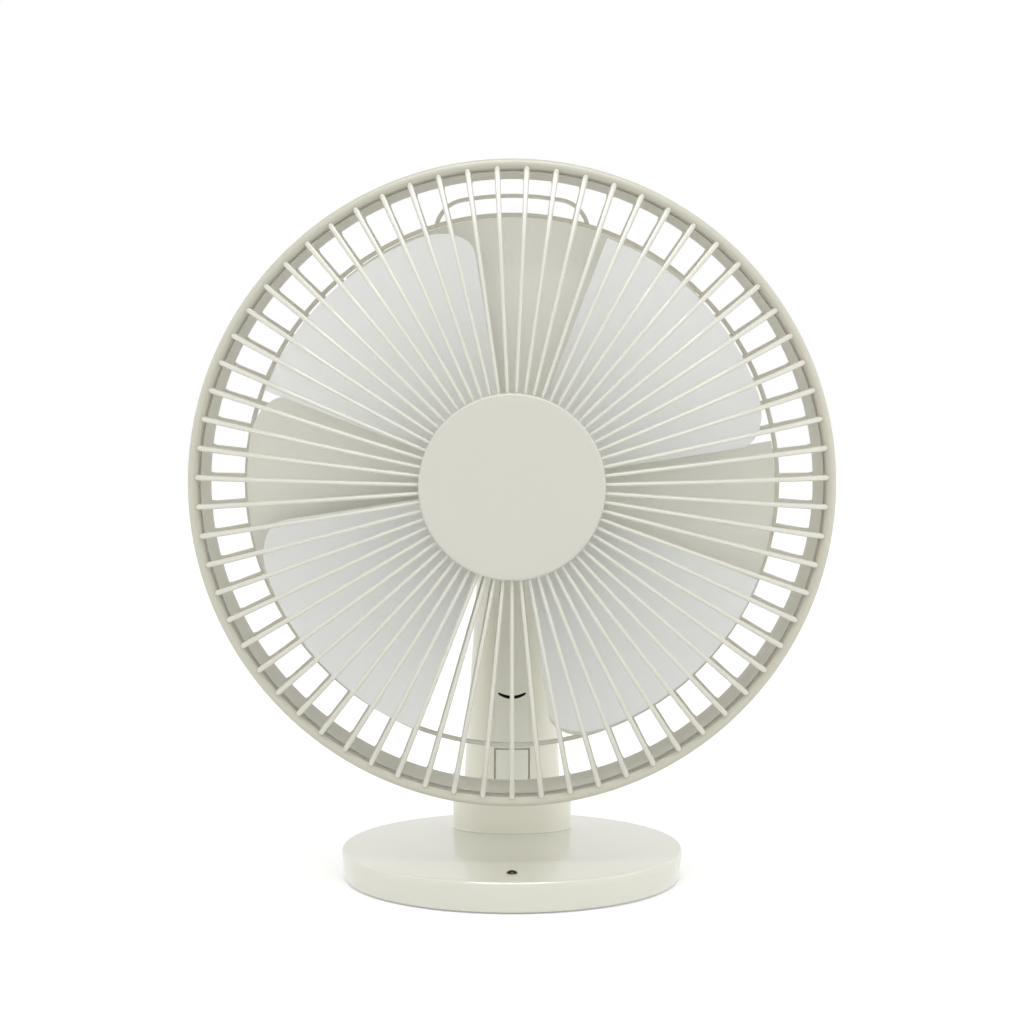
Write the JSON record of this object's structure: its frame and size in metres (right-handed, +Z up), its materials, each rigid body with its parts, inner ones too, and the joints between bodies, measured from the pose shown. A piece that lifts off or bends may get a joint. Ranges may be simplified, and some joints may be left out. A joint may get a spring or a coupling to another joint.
{
  "type": "desk fan",
  "caption": "Small desk fan: round spoked guard with two rotors on one axle, tilting on a tapering column over a round weighted base.",
  "frame": {"origin": "centre of the round base, on the surface that the feet stand on", "axes": "+Z up, the fan blows towards -Y, +X to the right seen from the front"},
  "size_m": [0.165, 0.0916, 0.1895],
  "materials": {
    "casing": "glossy moulded off-white",
    "underside": "fine-textured off-white",
    "front_blades": "satin cool white",
    "rear_blades": "satin warm beige",
    "strip": "satin light grey",
    "button": "satin",
    "dark_plastic": "moulded",
    "lens": "dark red, polished",
    "board": "solder mask",
    "steel": "turned and plated",
    "core_steel": "dark, unpolished",
    "bronze": "sintered",
    "copper": "enamelled winding",
    "dark_rubber": "matt"
  },
  "bodies": {
    "stand": {"column_front": "casing", "column_back": "casing", "column_screws": "steel", "column_strip": "strip", "strip_latch": "strip", "column_lead": "dark_rubber", "collar": "casing", "foot_screws": "steel", "base_top": "casing", "base_bottom": "underside", "base_screws": "steel", "rubber_feet": "dark_rubber", "ballast_plate": "core_steel", "control_board": "board", "lamp_board": "board", "lamp_lens": "lens", "lamp_ribbon": "dark_plastic", "power_inlet": "steel", "button_switch": "dark_plastic", "tilt_bush": "dark_plastic"},
    "head": {"front_guard": "casing", "guard_cap": "casing", "rear_guard": "casing", "motor_housing": "casing", "housing_screws": "steel", "driver_board": "board", "axle": "steel", "axle_circlip": "steel", "spacer_sleeve": "steel", "thrust_washers": "bronze", "front_stator_core": "core_steel", "front_coils": "copper", "rear_stator_core": "core_steel", "rear_coils": "copper", "tilt_bolt": "steel", "tilt_nut": "steel", "friction_washers": "steel"},
    "front_fan": {"front_rotor": "front_blades", "front_magnet_ring": "core_steel", "front_bearings": "bronze"},
    "rear_fan": {"rear_rotor": "rear_blades", "rear_magnet_ring": "core_steel", "rear_bearings": "bronze"},
    "button": {"power_button": "button"}
  },
  "joints": [
    {"name": "head_tilt", "type": "hinge", "parent": "stand", "child": "head", "pos_m": [0, 0.025, 0.107], "axis": [-1, 0, 0], "range_deg": [-10, 25]},
    {"name": "front_spin", "type": "hinge", "parent": "head", "child": "front_fan", "pos_m": [0, -0.03, 0.107], "axis": [0, 1, 0], "continuous": true},
    {"name": "rear_spin", "type": "hinge", "parent": "head", "child": "rear_fan", "pos_m": [0, -0.014, 0.107], "axis": [0, -1, 0], "continuous": true},
    {"name": "button_press", "type": "slide", "parent": "stand", "child": "button", "axis": [0, -1, 0], "range_m": [0, 0.0005], "stiffness_N_per_m": 400, "springref_m": -0.0003}
  ]
}
